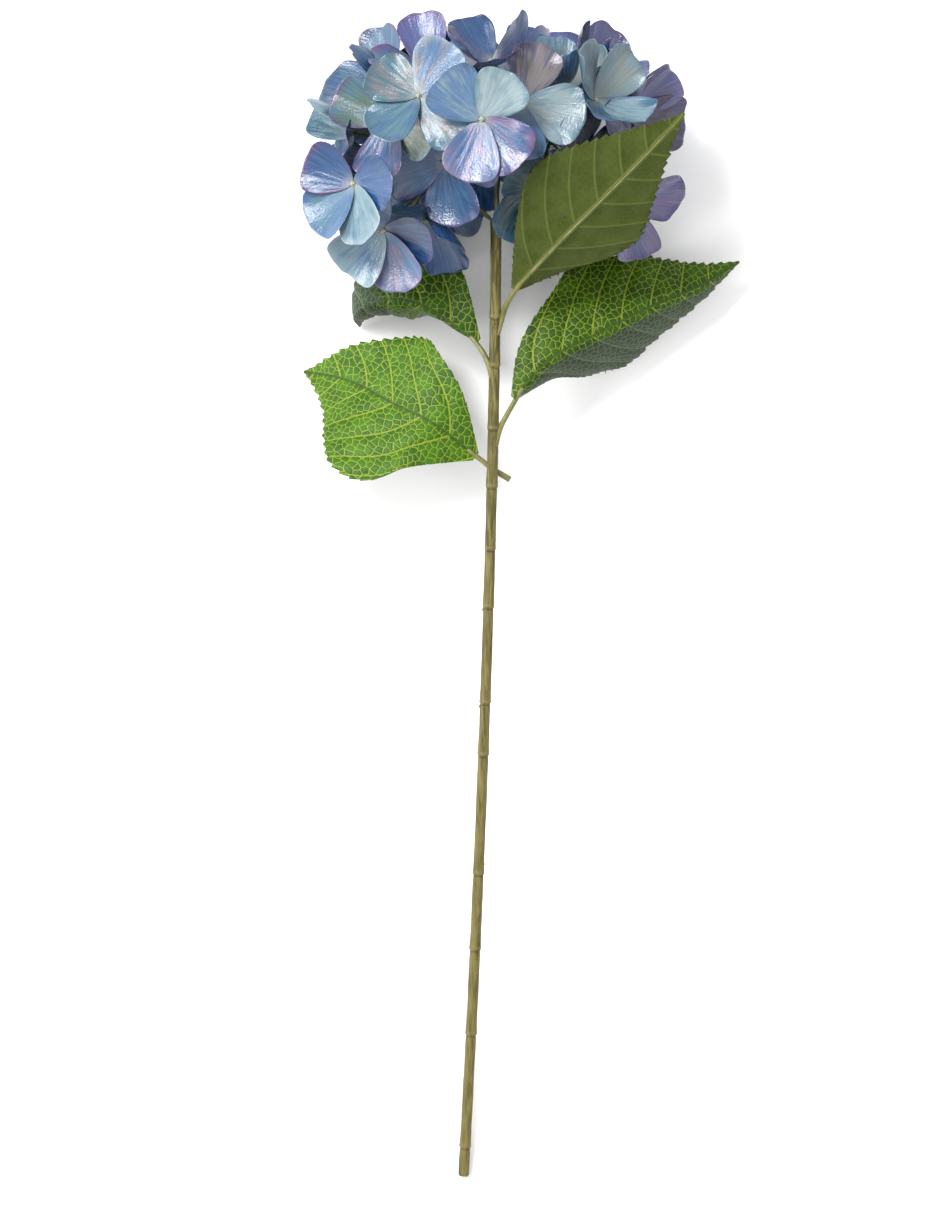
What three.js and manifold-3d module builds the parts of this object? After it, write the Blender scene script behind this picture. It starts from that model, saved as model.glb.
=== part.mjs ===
// A cut hydrangea lying on its side: one straight woody stem, four leaves and a mop head of
// four-sepalled florets on forked rays. Millimetres. +Y runs along the stem from the cut end to
// the flower head, +Z is up, and the stem's cut end and the underside of the head touch Z = 0.
import * as THREE from "three";
import { mergeVertices } from "three/addons/utils/BufferGeometryUtils.js";
import Module from "manifold-3d";

const wasm = await Module();
wasm.setup();

// ---------- driving dimensions ----------
const GAP = 0.3; // clearance between pieces that touch

const STEM_LENGTH = 534; // cut end to the fork of the rays
const STEM_RADIUS = 3;
const STEM_LEAN = 18; // how far the stem bows to the right on its way up

const HEAD_ABOVE_FORK = 38; // head centre beyond the end of the stem
const HEAD_HALF_DEPTH = 54; // head centre to the florets that lie on the surface

const SEPAL_LENGTH = 35;
const SEPAL_THICKNESS = 0.8;
const PEDICEL_LENGTH = 12; // the short stalk of one floret
const PEDICEL_RADIUS = 1.2;
const PEDICEL_FOOT_RADIUS = 0.6;
const BEAD_HEIGHT = 2.4; // the unopened flower at the floret's middle

const RAY_RADIUS = 1.15;
const LEAF_THICKNESS = 0.8;
const PETIOLE_RADIUS = 1.5;

// ---------- finishes ----------
const finish = (color, roughness) =>
  new THREE.MeshStandardMaterial({ color, roughness, metalness: 0 });
const BARK = finish(0x87803f, 0.6);
const RAY_GREEN = finish(0x66703c, 0.55);
const LEAF_GREEN = finish(0x5f8a2c, 0.5);
const SEPAL_BLUE = finish(0x6f93bb, 0.45);

// ---------- solids ----------
const vec = (x, y, z) => new THREE.Vector3(x, y, z);
const rad = THREE.MathUtils.degToRad;

function solidOf(geometry) {
  const bare = geometry.clone();
  bare.deleteAttribute("normal");
  bare.deleteAttribute("uv");
  const merged = mergeVertices(bare, 1e-4);
  const vertProperties = new Float32Array(merged.attributes.position.array);
  const triVerts = new Uint32Array(merged.index.array);
  return new wasm.Manifold(new wasm.Mesh({ numProp: 3, vertProperties, triVerts }));
}

function geometryOf(solid) {
  const mesh = solid.getMesh();
  const geometry = new THREE.BufferGeometry();
  geometry.setAttribute("position", new THREE.BufferAttribute(mesh.vertProperties, 3));
  geometry.setIndex(new THREE.BufferAttribute(mesh.triVerts, 1));
  return geometry;
}

const join = (solids) => solids.reduce((whole, solid) => whole.add(solid));

// A closed skin of the given thickness around a sheet: rows of points, each with its normal.
// A row closes on itself when `ring` is set, and the first row is then one point.
function plate(points, normals, rows, columns, thickness, ring) {
  const top = points.map((p, i) => p.clone().addScaledVector(normals[i], thickness / 2));
  const under = points.map((p, i) => p.clone().addScaledVector(normals[i], -thickness / 2));
  const index = [];
  const count = points.length;
  const quad = (a, b, c, d) => index.push(a, b, c, a, c, d);
  const at = (row, column) =>
    ring ? (row === 0 ? 0 : 1 + (row - 1) * columns + (column % columns)) : row * columns + column;
  const across = ring ? columns : columns - 1;
  for (let row = 0; row < rows - 1; row++)
    for (let column = 0; column < across; column++) {
      const [a, b] = [at(row, column), at(row, column + 1)];
      const [c, d] = [at(row + 1, column + 1), at(row + 1, column)];
      if (ring && row === 0) {
        index.push(a, d, c);
        index.push(a + count, c + count, d + count);
      } else {
        quad(a, d, c, b);
        quad(a + count, b + count, c + count, d + count);
      }
    }
  const rim = [];
  if (ring) for (let column = 0; column < columns; column++) rim.push(at(rows - 1, column));
  else {
    for (let row = 0; row < rows - 1; row++) rim.push(at(row, 0));
    for (let column = 0; column < columns - 1; column++) rim.push(at(rows - 1, column));
    for (let row = rows - 1; row > 0; row--) rim.push(at(row, columns - 1));
    for (let column = columns - 1; column > 0; column--) rim.push(at(0, column));
  }
  rim.forEach((a, i) => {
    const b = rim[(i + 1) % rim.length];
    quad(a, a + count, b + count, b);
  });
  const geometry = new THREE.BufferGeometry();
  geometry.setFromPoints([...top, ...under]);
  geometry.setIndex(index);
  return geometry;
}

function rod(curve, radius, steps) {
  const section = new THREE.Shape();
  section.absarc(0, 0, radius, 0, 2 * Math.PI, false);
  return new THREE.ExtrudeGeometry(section, {
    steps,
    curveSegments: 3, // gives a circle six sides
    extrudePath: curve,
  });
}

// ---------- stem ----------
// The axis leans a little to the right and climbs from the cut end on the surface to the head.
const stemTopHeight = () => headCentre.z - 4;

function stemAt(y) {
  const share = y / STEM_LENGTH;
  const x = STEM_LEAN * (1 - (1 - Math.min(share, 1)) ** 1.6);
  const z = STEM_RADIUS + (stemTopHeight() - STEM_RADIUS) * share;
  return vec(x, y, z);
}

const BED_CUP = 20; // the florets that lie on the surface open this far, in degrees
const bottomFloretHeight = SEPAL_LENGTH * Math.sin(rad(BED_CUP)) + SEPAL_THICKNESS;
const headCentre = vec(
  STEM_LEAN,
  STEM_LENGTH + HEAD_ABOVE_FORK,
  bottomFloretHeight + HEAD_HALF_DEPTH,
);

// Shares of the stem's length where a leaf pair once grew, each a thickened ring.
const STEM_NODES = [0.03, 0.15, 0.24, 0.32, 0.445, 0.5, 0.6, 0.66, 0.725, 0.785, 0.85, 0.9];
const RING_SWELL = 1.13; // the ring just above a node, against the stem's own radius

function stemGeometry() {
  const profile = [new THREE.Vector2(0, 0), new THREE.Vector2(STEM_RADIUS, 0)];
  for (const share of STEM_NODES) {
    const y = share * STEM_LENGTH;
    profile.push(new THREE.Vector2(STEM_RADIUS * 0.95, y - 1));
    profile.push(new THREE.Vector2(STEM_RADIUS * RING_SWELL, y + 1.5));
    profile.push(new THREE.Vector2(STEM_RADIUS, y + 8));
  }
  profile.push(new THREE.Vector2(STEM_RADIUS * RING_SWELL, STEM_LENGTH));
  profile.push(new THREE.Vector2(0, STEM_LENGTH));
  const geometry = new THREE.LatheGeometry(profile, 8);
  const position = geometry.attributes.position;
  for (let i = 0; i < position.count; i++) {
    const axis = stemAt(position.getY(i));
    position.setX(i, position.getX(i) + axis.x);
    position.setZ(i, position.getZ(i) + axis.z);
  }
  return geometry;
}

// ---------- leaves ----------
// Half-width of the blade along the midrib, as shares of the widest: a broad oval with a drawn-out tip.
const LEAF_OUTLINE = new THREE.SplineCurve(
  [
    [0, 0.06],
    [0.06, 0.46],
    [0.17, 0.84],
    [0.35, 1],
    [0.55, 0.94],
    [0.73, 0.64],
    [0.87, 0.25],
    [1, 0.02],
  ].map(([along, half]) => new THREE.Vector2(along, half)),
);
const LEAF_ROWS = 10;
const LEAF_COLUMNS = 5;

// node: where on the stem the leaf grows, as a share of its length. The lines are offsets from the
// stem's axis there. petiole: the stalk, free end first; midrib: the blade's middle line, base to tip.
// up: which way the leaf's upper face looks; left and right: each half's widest, and how many
// degrees it is folded towards the upper face (negative bends away from it).
const BESIDE_STEM = STEM_RADIUS * RING_SWELL + PETIOLE_RADIUS + GAP;
const LEAVES = {
  leaf_lower_left: {
    node: 0.745,
    petiole: [[10, -6, -BESIDE_STEM], [0, 0, -BESIDE_STEM], [-5, 4, -BESIDE_STEM]],
    midrib: [[-9, 7, -6], [-34, 26, -3], [-54, 36, -10], [-80, 50, -26], [-106, 56, -45]],
    up: [0.1, 0.1, 1],
    left: { width: 49, fold: 5 },
    right: { width: 38, fold: 5 },
  },
  leaf_right: {
    node: 0.785,
    petiole: [[BESIDE_STEM, 0, 0], [7.5, 8, 2]],
    midrib: [[11.5, 17, 6], [30, 38, 7], [57, 53, 2], [88, 69, -7], [115, 81, -16], [138, 95, -26]],
    up: [0, 0.05, 1],
    left: { width: 42, fold: -14 },
    right: { width: 42, fold: -64 },
  },
  leaf_upper_right: {
    node: 0.9,
    petiole: [[BESIDE_STEM, 0, 0], [6.5, 8, 6]],
    midrib: [[10.5, 15, 16], [35.5, 40, 42], [58.5, 62, 58], [80.5, 84, 63], [102.5, 108, 58]],
    up: [-0.15, 0.15, -1],
    left: { width: 34, fold: 20 },
    right: { width: 39, fold: -4 },
  },
  leaf_behind_left: {
    node: 0.854,
    petiole: [[-BESIDE_STEM, 0, 0], [-7, 7, -2]],
    midrib: [[-9, 12, -4], [-43, 34, -8], [-60, 36, -15], [-71, 33, -27], [-70, 29, -40], [-61, 26, -51]],
    up: [-0.6, 0.3, 1],
    left: { width: 34, fold: -92 },
    right: { width: 40, fold: -4 },
  },
};

function leafSolid({ node, petiole, midrib, up, left, right }) {
  const root = stemAt(node * STEM_LENGTH);
  const line = new THREE.CatmullRomCurve3(midrib.map((p) => vec(...p).add(root)), false, "centripetal");
  const upward = vec(...up).normalize();
  const points = [];
  const normals = [];
  for (let row = 0; row < LEAF_ROWS; row++) {
    const along = row / (LEAF_ROWS - 1);
    const middle = line.getPointAt(along);
    const ahead = line.getTangentAt(along);
    const face = upward.clone().addScaledVector(ahead, -upward.dot(ahead)).normalize();
    const leftward = face.clone().cross(ahead);
    const share = Math.max(LEAF_OUTLINE.getPointAt(along).y, 0.02);
    for (let column = 0; column < LEAF_COLUMNS; column++) {
      const across = (2 * column) / (LEAF_COLUMNS - 1) - 1; // -1 at the right edge, 1 at the left
      const half = across < 0 ? right : left;
      const reach = across * share * half.width;
      const tilt = rad(across === 0 ? (left.fold + right.fold) / 2 : half.fold);
      const lean = across === 0 ? rad((left.fold - right.fold) / 2) : Math.sign(across) * tilt;
      const point = middle.clone();
      point.addScaledVector(leftward, reach * Math.cos(tilt));
      point.addScaledVector(face, Math.abs(reach) * Math.sin(tilt));
      points.push(point);
      normals.push(face.clone().multiplyScalar(Math.cos(lean)).addScaledVector(leftward, -Math.sin(lean)));
    }
  }
  const blade = plate(points, normals, LEAF_ROWS, LEAF_COLUMNS, LEAF_THICKNESS, false);
  const stalk = [...petiole.map((p) => vec(...p).add(root)), line.getPointAt(0.1)];
  return solidOf(blade).add(solidOf(rod(new THREE.CatmullRomCurve3(stalk), PETIOLE_RADIUS, 6)));
}

// ---------- florets ----------
// One floret in its own frame: it looks along +Z, its sepals meet at the origin, and its pedicel
// stands below. Each sepal has its own bearing and its own cup, the angle it is raised by.
const SHOULDER_ANGLE = 27; // degrees either side of a sepal's middle line
const SHOULDER_REACH = 0.93;
const NOTCH_REACH = 0.3;
const SEPAL_SPREAD = [1, 0.97, 0.86, 0.96]; // no four sepals are the same length

function sheetPoint(angle, reach, cup) {
  const rise = rad(cup) * (0.4 + (0.6 * reach) / SEPAL_LENGTH);
  const flat = reach * Math.cos(rise);
  return vec(flat * Math.cos(rad(angle)), flat * Math.sin(rad(angle)), reach * Math.sin(rise));
}

// Shoulder, tip, shoulder of one sepal: bearing, reach from the middle and cup of each.
function lobe(angle, cup, k) {
  const length = SEPAL_LENGTH * SEPAL_SPREAD[k];
  return [
    [angle - SHOULDER_ANGLE, length * SHOULDER_REACH, cup],
    [angle, length, cup],
    [angle + SHOULDER_ANGLE, length * SHOULDER_REACH, cup],
  ];
}

function sheetSolid(rim, thickness) {
  const points = [vec(0, 0, 0)];
  for (const ring of [0.55, 1])
    for (const [angle, reach, cup] of rim) points.push(sheetPoint(angle, reach * ring, cup));
  return solidOf(plate(points, points.map(() => vec(0, 0, 1)), 3, rim.length, thickness, true));
}

// One sepal on its own, closed at the middle, to try whether it is clear of its neighbours.
function sepalSolid(angle, cup, k, thickness) {
  const back = [angle + 180, 0.5, 0];
  return sheetSolid([back, ...lobe(angle, cup, k)], thickness);
}

function spindleSolid(spare) {
  const length = PEDICEL_LENGTH + BEAD_HEIGHT;
  const spindle = new THREE.CylinderGeometry(PEDICEL_RADIUS + spare, PEDICEL_FOOT_RADIUS + spare, length, 6);
  spindle.rotateX(Math.PI / 2);
  spindle.translate(0, 0, length / 2 - PEDICEL_LENGTH);
  return solidOf(spindle);
}

function floretSolid(sepals, cups, thickness) {
  const rim = sepals.flatMap((angle, k) => {
    const before = (k + 3) % 4;
    const turnBack = (((angle - sepals[before]) % 360) + 360) % 360;
    const notch = [angle - turnBack / 2, SEPAL_LENGTH * NOTCH_REACH, (cups[k] + cups[before]) / 2];
    return [notch, ...lobe(angle, cups[k], k)];
  });
  return sheetSolid(rim, thickness).add(spindleSolid(0));
}

// Turns a floret's own frame to look along yaw (to the right) and pitch (towards the tip).
function facing([yaw, pitch]) {
  const [a, b] = [rad(yaw), rad(pitch)];
  const look = vec(Math.sin(a) * Math.cos(b), Math.sin(b), Math.cos(a) * Math.cos(b));
  const high = vec(-Math.sin(a) * Math.sin(b), Math.cos(b), -Math.cos(a) * Math.sin(b));
  return new THREE.Matrix4().makeBasis(high.clone().cross(look), high, look);
}

const evenSepals = (first) => [0, 1, 2, 3].map((k) => first + 90 * k);

// The front and sides of the head, from the head's centre, in the order that they are placed.
const FRONT_FLORETS = [
  { at: [-8, 12, 62], face: [-4, -6], sepals: [-104, -44, 55, 134], cup: 14 },
  { at: [14, 22, 46], face: [14, 6], first: -15, cup: 14 },
  { at: [-42, 26, 48], face: [-14, 14], sepals: [-40, 60, 150, 228], cup: 14 },
  { at: [-58, 15, 28], face: [-24, -2], sepals: [-70, 12, 98, 182], cup: 16 },
  { at: [-78, -20, 30], face: [-34, -8], sepals: [-72, 0, 150, 220], cup: 18 },
  { at: [34, 31, 22], face: [6, 66], first: 88, cup: 42 },
  { at: [-3, 46, 34], face: [-6, 46], sepals: [-70, 10, 130, 200], cup: 34 },
  { at: [50, 22, 36], face: [42, 24], first: 40, cup: 34 },
  { at: [-62, -44, 12], face: [-20, -30], sepals: [-75, -8, 105, 220], cup: 18 },
  { at: [-38, 44, 16], face: [-20, 46], first: 105, cup: 30 },
  { at: [-62, 36, 2], face: [-46, 30], first: 97, cup: 30 },
  { at: [14, 46, -4], face: [6, 62], first: 70, cup: 26 },
  { at: [52, 39, 0], face: [28, 50], first: 50, cup: 34 },
  { at: [73, 20, 12], face: [52, 14], sepals: [-12, 52, 125, 205], cup: 28 },
  { at: [-28, -6, 22], face: [-12, -30], first: -82, cup: 18 },
  { at: [46, -8, 24], face: [34, -14], first: 20, cup: 24 },
  { at: [22, -22, 14], face: [12, -36], first: -40, cup: 22 },
  { at: [-78, 10, 2], face: [-70, 8], first: 150, cup: 26 },
  { at: [-38, -28, -6], face: [-10, -50], first: -80, cup: 22 },
  { at: [-12, -14, -8], face: [-6, -64], first: -100, cup: 20 },
  { at: [72, -26, 0], face: [50, -30], first: -70, cup: 24 },
  { at: [54, -36, -12], face: [28, -52], first: -60, cup: 22 },
];

// Round the side that the head lies on, below its widest line: how far out and how low.
const LOWER_RING = { across: 64, along: 46, drop: 22, tilt: -22, cup: 24 };
const LOWER_RING_BEARINGS = [8, 44, 82, 116, 152, 188, 222];

// Four florets pressed flat against the surface carry the head.
const BED_ACROSS = [-36, 36];
const BED_ALONG = [-28, 42];

function floretPlaces() {
  const places = FRONT_FLORETS.map((floret) => ({ sepals: evenSepals(floret.first), ...floret }));
  for (const bearing of LOWER_RING_BEARINGS) {
    const [c, s] = [Math.cos(rad(bearing)), Math.sin(rad(bearing))];
    const { across, along, drop, tilt, cup } = LOWER_RING;
    const out = vec(c * Math.cos(rad(tilt)), s * Math.cos(rad(tilt)), Math.sin(rad(tilt)));
    const pitch = THREE.MathUtils.radToDeg(Math.asin(out.y));
    const yaw = THREE.MathUtils.radToDeg(Math.atan2(out.x, out.z));
    places.push({ at: [across * c, along * s, -drop], face: [yaw, pitch], sepals: evenSepals(bearing), cup });
  }
  const bed = BED_ACROSS.flatMap((x) =>
    BED_ALONG.map((y) => ({
      at: [x, y, -HEAD_HALF_DEPTH],
      face: [180, 0],
      sepals: evenSepals(0),
      cup: BED_CUP,
      fixed: true,
    })),
  );
  return [...bed, ...places];
}

// ---------- rays ----------
// The stalks between stem and florets. One stands on the middle of the stem's end and six around
// it; each bows out to its own fork, and a branch runs from there to each of its florets.
const FORKS = [
  [4, 24, -2],
  [30, 6, 6],
  [0, 2, 24],
  [-30, 6, 12],
  [-38, -20, 6],
  [0, 4, -28],
  [32, -22, -6],
].map((at) => headCentre.clone().add(vec(...at)));
const BUNDLE_RADIUS = 2 * RAY_RADIUS + GAP;
const BRANCH_RADIUS = 0.75 * RAY_RADIUS;
const KNUCKLE_RADIUS = 1.35 * RAY_RADIUS;
const FIRST_RISE = 5; // each ray leaves the stem straight before it bows out

// A stalk whose straight way is blocked is tried bowed aside by these much, in millimetres.
const BOWS = [0, 5, 10, 16, 22, 30, 40];
const WAYS = [-1, 0, 1].flatMap((x) => [-1, 0, 1].flatMap((y) => [-1, 0, 1].map((z) => vec(x, y, z))));
const ASIDES = BOWS.flatMap((bow) => (bow === 0 ? [vec(0, 0, 0)] : WAYS.map((way) => way.clone().setLength(bow))));

const boxOf = (solid) => {
  const { min, max } = solid.boundingBox();
  return new THREE.Box3(vec(...min), vec(...max));
};

// Every solid placed so far, with its box and the piece that it belongs to.
const taken = [];
const keep = (owner, solid) => taken.push({ owner, solid, box: boxOf(solid) });

function isClear(solid, except = []) {
  const box = boxOf(solid);
  return taken.every(
    (other) =>
      except.includes(other.owner) || !other.box.intersectsBox(box) || solid.intersect(other.solid).isEmpty(),
  );
}

const rayName = (slot) => `ray_${slot + 1}`;

function mainSolid(fork, slot) {
  const top = stemAt(STEM_LENGTH);
  const bearing = rad(60 * slot - 30);
  const aside = slot === 0 ? vec(0, 0, 0) : vec(Math.cos(bearing), 0, Math.sin(bearing));
  const start = top.clone().addScaledVector(aside, BUNDLE_RADIUS);
  start.y += GAP;
  const rise = start.clone().add(vec(0, FIRST_RISE, 0));
  const outward = rise.clone().addScaledVector(aside, 0.35 * start.distanceTo(fork));
  for (const bow of ASIDES) {
    const curve = new THREE.CubicBezierCurve3(start, rise, outward.clone().add(bow), fork);
    if (!isClear(solidOf(rod(curve, RAY_RADIUS + GAP / 2, 6)), ["stem"])) continue;
    const knuckle = new THREE.IcosahedronGeometry(KNUCKLE_RADIUS, 0).translate(...fork);
    return solidOf(rod(curve, RAY_RADIUS, 6)).add(solidOf(knuckle));
  }
  throw new Error("no clear way for " + rayName(slot));
}

// The branch from a fork to a floret's foot, or null where the floret itself or another piece is in
// its way. It meets the foot along the floret's own axis.
function branchSolid(slot, foot, look, floret) {
  const fork = FORKS[slot];
  const end = foot.clone().addScaledVector(look, -GAP);
  const short = end.clone().addScaledVector(look, -GAP);
  const reach = end.distanceTo(fork);
  const branch = (control, share, stop, radius) => {
    const before = stop.clone().addScaledVector(look, -share * reach);
    return solidOf(rod(new THREE.CubicBezierCurve3(fork, control, before, stop), radius, 5));
  };
  for (const share of [0.3, 0.1])
    for (const bow of ASIDES) {
      if (bow.length() > 0.6 * reach) break;
      const control = fork.clone().lerp(end, 0.35).add(bow);
      const thick = branch(control, share, short, BRANCH_RADIUS + GAP);
      if (isClear(thick, [rayName(slot)]) && thick.intersect(floret).isEmpty())
        return branch(control, share, end, BRANCH_RADIUS);
    }
  return null;
}

// The nearest fork that has a clear way to a floret's foot, with the branch that takes it.
function stalkFor(foot, look, floret) {
  const slots = FORKS.map((fork, slot) => slot).sort(
    (a, b) => FORKS[a].distanceTo(foot) - FORKS[b].distanceTo(foot),
  );
  for (const slot of slots.slice(0, 4)) {
    const solid = branchSolid(slot, foot, look, floret);
    if (solid) return { slot, solid };
  }
  return null;
}

// ---------- placing the florets ----------
// A floret keeps its chosen place if each sepal can be raised or lowered clear of the pieces before
// it and a branch can reach its foot. If not, it is also moved along its pedicel, turned on it and
// tilted, as little as will do.
const SPARE = 1.2; // the sepals are tried this much thicker than they are, so that a gap is left
const BENDS = [0, 8, -8, 16, -16, 24, 32, 40, 52, 64];
const LIFTS = [0, 3, -3, 6, -6, 10, -10, 14, -14, 20, 27, 34, 45, 60, 80];
const TURNS = [0, 15, -15, 30, -30];
const TILTS = [[0, 0], [14, 0], [-14, 0], [0, 14], [0, -14]];
const BEND_COST = 0.12; // millimetres of lift that a degree of bend is worth
const TURN_COST = 0.3;
const TILT_COST = 0.4;
const TRIALS = LIFTS.flatMap((lift) =>
  TURNS.flatMap((turn) =>
    TILTS.map((tilt) => ({
      lift,
      turn,
      tilt,
      cost:
        Math.abs(lift) + TURN_COST * Math.abs(turn) + TILT_COST * (Math.abs(tilt[0]) + Math.abs(tilt[1])),
    })),
  ),
);
TRIALS.sort((a, b) => a.cost - b.cost);

function settle(place) {
  const middle = headCentre.clone().add(vec(...place.at));
  const thick = SEPAL_THICKNESS + SPARE;
  let best = null;
  for (const { lift, turn, tilt, cost } of place.fixed ? TRIALS.slice(0, 1) : TRIALS) {
    if (best && best.cost <= cost) break;
    const matrix = facing([place.face[0] + tilt[0], place.face[1] + tilt[1]]);
    const look = new THREE.Vector3().setFromMatrixColumn(matrix, 2);
    const centre = middle.clone().addScaledVector(look, lift);
    matrix.setPosition(centre);
    const clear = (solid) => isClear(solid.transform(matrix.elements));
    if (!clear(spindleSolid(SPARE / 2))) continue;
    const sepals = place.sepals.map((angle) => angle + turn);
    const bends = sepals.map((angle, k) =>
      BENDS.find((bend) => clear(sepalSolid(angle, place.cup + bend, k, thick))),
    );
    if (bends.includes(undefined)) continue;
    const total = cost + BEND_COST * bends.reduce((sum, bend) => sum + Math.abs(bend), 0);
    if (best && best.cost <= total) continue;
    const cups = bends.map((bend) => place.cup + bend);
    if (!clear(floretSolid(sepals, cups, thick))) continue;
    const solid = floretSolid(sepals, cups, SEPAL_THICKNESS).transform(matrix.elements);
    const stalk = stalkFor(centre.clone().addScaledVector(look, -PEDICEL_LENGTH), look, solid);
    if (stalk) best = { cost: total, solid, stalk };
  }
  if (!best) throw new Error("a floret has no clear place at " + place.at);
  return best;
}

// ---------- assembly ----------
const flower = new THREE.Group();

function add(name, geometry, material) {
  const mesh = new THREE.Mesh(geometry, material);
  mesh.name = name;
  flower.add(mesh);
}

const stem = stemGeometry();
add("stem", stem, BARK);
keep("stem", solidOf(stem));

for (const [name, leaf] of Object.entries(LEAVES)) {
  const solid = leafSolid(leaf);
  add(name, geometryOf(solid), LEAF_GREEN);
  keep(name, solid);
}

const rays = FORKS.map((fork, slot) => {
  const solid = mainSolid(fork, slot);
  keep(rayName(slot), solid);
  return [solid];
});

floretPlaces().forEach((place, i) => {
  const name = `floret_${String(i + 1).padStart(2, "0")}`;
  const { solid, stalk } = settle(place);
  add(name, geometryOf(solid), SEPAL_BLUE);
  keep(name, solid);
  keep(rayName(stalk.slot), stalk.solid);
  rays[stalk.slot].push(stalk.solid);
});
rays.forEach((solids, slot) => add(rayName(slot), geometryOf(join(solids)), RAY_GREEN));

// The frame's origin is under the middle of the whole object, on the surface that it lies on.
const box = new THREE.Box3().setFromObject(flower, true);
const middle = box.getCenter(vec(0, 0, 0));
flower.position.set(-middle.x, -middle.y, -box.min.z);

export default flower;
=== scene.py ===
import math
import bpy
import numpy as np
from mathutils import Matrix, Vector


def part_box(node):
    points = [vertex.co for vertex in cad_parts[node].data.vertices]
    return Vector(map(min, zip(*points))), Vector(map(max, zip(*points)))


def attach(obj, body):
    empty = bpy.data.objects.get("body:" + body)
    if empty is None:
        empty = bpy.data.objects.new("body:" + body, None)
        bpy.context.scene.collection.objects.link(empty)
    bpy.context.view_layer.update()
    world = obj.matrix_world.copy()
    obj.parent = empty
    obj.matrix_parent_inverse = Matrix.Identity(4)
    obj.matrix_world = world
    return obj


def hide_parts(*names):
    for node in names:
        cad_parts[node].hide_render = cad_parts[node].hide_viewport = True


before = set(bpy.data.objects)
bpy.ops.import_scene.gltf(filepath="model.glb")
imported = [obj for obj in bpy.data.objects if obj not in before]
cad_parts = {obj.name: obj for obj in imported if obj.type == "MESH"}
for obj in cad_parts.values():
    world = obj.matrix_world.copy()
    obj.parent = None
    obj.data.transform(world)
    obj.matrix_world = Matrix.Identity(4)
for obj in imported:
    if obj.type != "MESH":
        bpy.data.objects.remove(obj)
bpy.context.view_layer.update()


# ------------------------------------------------------------------------------------------------
# Stem. One straight cane 6 mm thick, moulded in olive-brown plastic round a wire core. Short
# collars mark the nodes where pairs of leaves once grew, and the mould left lengthwise ridges.
# Everything else grows from it.

MM = 0.001
STEM_RADIUS = 3 * MM
COLLAR_SWELL = 1.13  # a collar's lip against the stem's own radius
STEM_BEND = 1.6  # the stem bows aside quickly near the cut end and hardly at all near the head
STEM_NODES = (0.03, 0.15, 0.24, 0.32, 0.445, 0.5, 0.6, 0.66, 0.725, 0.785, 0.85, 0.9)
SIDE_NUBS = ((0.597, 180), (0.496, 170), (0.73, 35), (0.33, 20))  # share of the length, bearing
STEM_DARKENS = (0.2, 0.5)  # metres from the cut end, where it starts to and where it is full

stem_low, stem_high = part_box("stem")
STEM_LENGTH = stem_high.y - stem_low.y
cut_end = np.array([stem_low.x + STEM_RADIUS, stem_low.y, stem_low.z + STEM_RADIUS])
stem_lean = stem_high.x - COLLAR_SWELL * STEM_RADIUS - cut_end[0]
stem_rise = stem_high.z - COLLAR_SWELL * STEM_RADIUS - cut_end[2]


def stem_at(share):
    """The stem's axis at a share of its length, 0 at the cut end and 1 at the fork."""
    aside = stem_lean * (1 - (1 - min(share, 1)) ** STEM_BEND)
    return cut_end + np.array([aside, share * STEM_LENGTH, share * stem_rise])


def linear(hex_colour):
    """An sRGB hex colour as linear RGBA."""
    shares = [int(hex_colour[i : i + 2], 16) / 255 for i in (1, 3, 5)]
    return [c / 12.92 if c <= 0.04045 else ((c + 0.055) / 1.055) ** 2.4 for c in shares] + [1]


def add(tree, kind, inputs=None, **settings):
    """Adds a node. Its inputs, by name or number, are given a value or another node's output."""
    node = tree.nodes.new(kind)
    for name, value in settings.items():
        setattr(node, name, value)
    for key, value in (inputs or {}).items():
        if isinstance(value, bpy.types.NodeSocket):
            tree.links.new(value, node.inputs[key])
        else:
            node.inputs[key].default_value = value
    return node


def material(name, **shader):
    """A material with its tree and its shader, whose constant values are set by socket name."""
    made = bpy.data.materials.new(name)
    made.use_nodes = True
    surface = made.node_tree.nodes["Principled BSDF"]
    for socket, value in shader.items():
        surface.inputs[socket.replace("_", " ")].default_value = value
    return made, made.node_tree, surface


def painted(tree, base, layers, kind="MIX"):
    """A colour with others laid over it in turn. A layer is the value that steers it, where it
    starts, where it is full, how much it covers then, and its colour."""
    for value, start, full, cover, colour in layers:
        eased = {"Value": value, "From Min": start, "From Max": full, "To Max": cover}
        share = add(tree, "ShaderNodeMapRange", eased, interpolation_type="SMOOTHSTEP").outputs[0]
        laid = {0: share, 6: base, 7: colour}
        base = add(tree, "ShaderNodeMix", laid, data_type="RGBA", blend_type=kind).outputs[2]
    return base


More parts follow.
